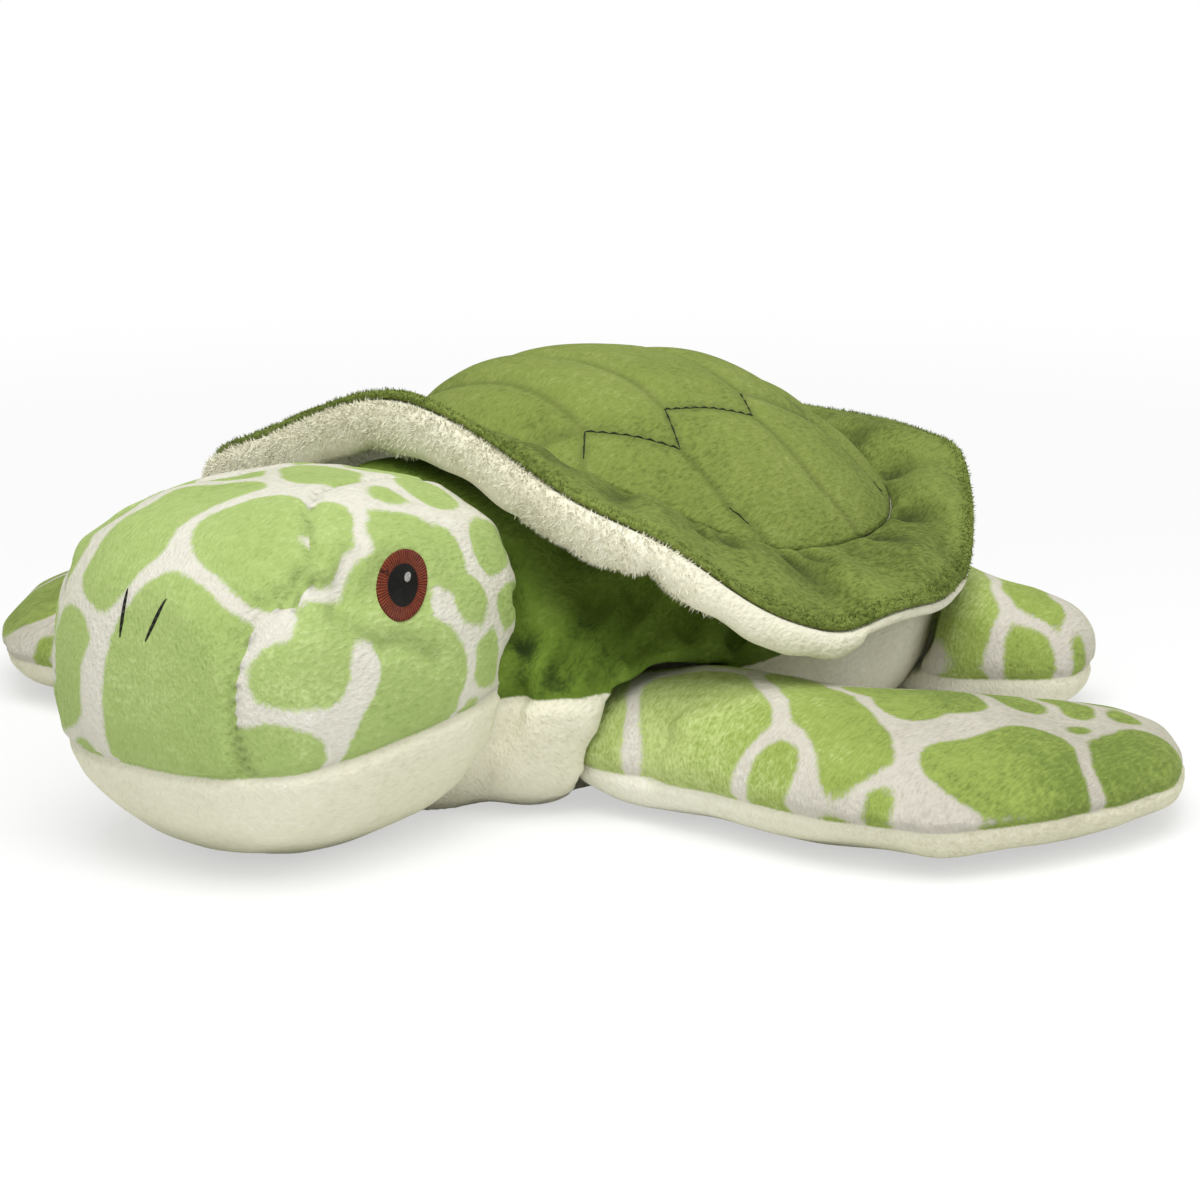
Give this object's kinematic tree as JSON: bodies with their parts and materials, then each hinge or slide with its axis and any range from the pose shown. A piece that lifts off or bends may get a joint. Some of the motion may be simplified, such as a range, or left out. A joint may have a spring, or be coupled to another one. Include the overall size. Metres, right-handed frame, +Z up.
{
  "type": "plush turtle",
  "caption": "Stuffed sea turtle lying on its belly, with a quilted carapace, a gathered rim, printed head and flippers and embroidered eyes.",
  "frame": {"origin": "middle of the flat of the belly, where the toy rests on the table", "axes": "+Z up, -Y the way the head looks, +X towards the turtle's left side"},
  "size_m": [0.3558, 0.316, 0.1045],
  "materials": {
    "moss_plush": "short pile plush, matt",
    "forest_plush": "short pile plush, matt",
    "cream_plush": "short pile plush, matt",
    "scale_print_plush": "printed short pile plush, matt",
    "fibre": "loose polyester fibre",
    "brown_thread": "satin stitch embroidery",
    "black_thread": "satin stitch embroidery",
    "white_thread": "satin stitch embroidery"
  },
  "bodies": {
    "trunk": {"back_cover": "forest_plush", "belly_cover": "cream_plush", "body_filling": "fibre", "quilted_carapace": "moss_plush", "carapace_filling": "fibre", "carapace_rim": "moss_plush", "carapace_lining": "cream_plush", "tail": "forest_plush"},
    "head": {"head_gusset": "scale_print_plush", "left_cheek": "scale_print_plush", "right_cheek": "scale_print_plush", "chin": "cream_plush", "head_filling": "fibre", "left_eye_iris": "brown_thread", "left_eye_pupil": "black_thread", "left_eye_glint": "white_thread", "left_nostril": "black_thread", "right_eye_iris": "brown_thread", "right_eye_pupil": "black_thread", "right_eye_glint": "white_thread", "right_nostril": "black_thread"},
    "front_left_flipper": {"front_left_flipper_top": "scale_print_plush", "front_left_flipper_underside": "cream_plush", "front_left_flipper_filling": "fibre"},
    "front_right_flipper": {"front_right_flipper_top": "scale_print_plush", "front_right_flipper_underside": "cream_plush", "front_right_flipper_filling": "fibre"},
    "hind_left_flipper": {"hind_left_flipper_top": "scale_print_plush", "hind_left_flipper_underside": "cream_plush", "hind_left_flipper_filling": "fibre"},
    "hind_right_flipper": {"hind_right_flipper_top": "scale_print_plush", "hind_right_flipper_underside": "cream_plush", "hind_right_flipper_filling": "fibre"}
  },
  "joints": [
    {"name": "head_turn", "type": "hinge", "parent": "trunk", "child": "head", "pos_m": [0, -0.083, 0], "axis": [0, 0, 1], "range_deg": [-12, 12]},
    {"name": "front_left_sweep", "type": "hinge", "parent": "trunk", "child": "front_left_flipper", "pos_m": [0.055, -0.054, 0], "axis": [0, 0, 1], "range_deg": [-46, 4]},
    {"name": "front_right_sweep", "type": "hinge", "parent": "trunk", "child": "front_right_flipper", "pos_m": [-0.055, -0.054, 0], "axis": [0, 0, 1], "range_deg": [-19, 31]},
    {"name": "hind_left_sweep", "type": "hinge", "parent": "trunk", "child": "hind_left_flipper", "pos_m": [0.047, 0.072, 0], "axis": [0, 0, 1], "range_deg": [-12, 16]},
    {"name": "hind_right_sweep", "type": "hinge", "parent": "trunk", "child": "hind_right_flipper", "pos_m": [-0.047, 0.072, 0], "axis": [0, 0, 1], "range_deg": [-16, 12]}
  ]
}
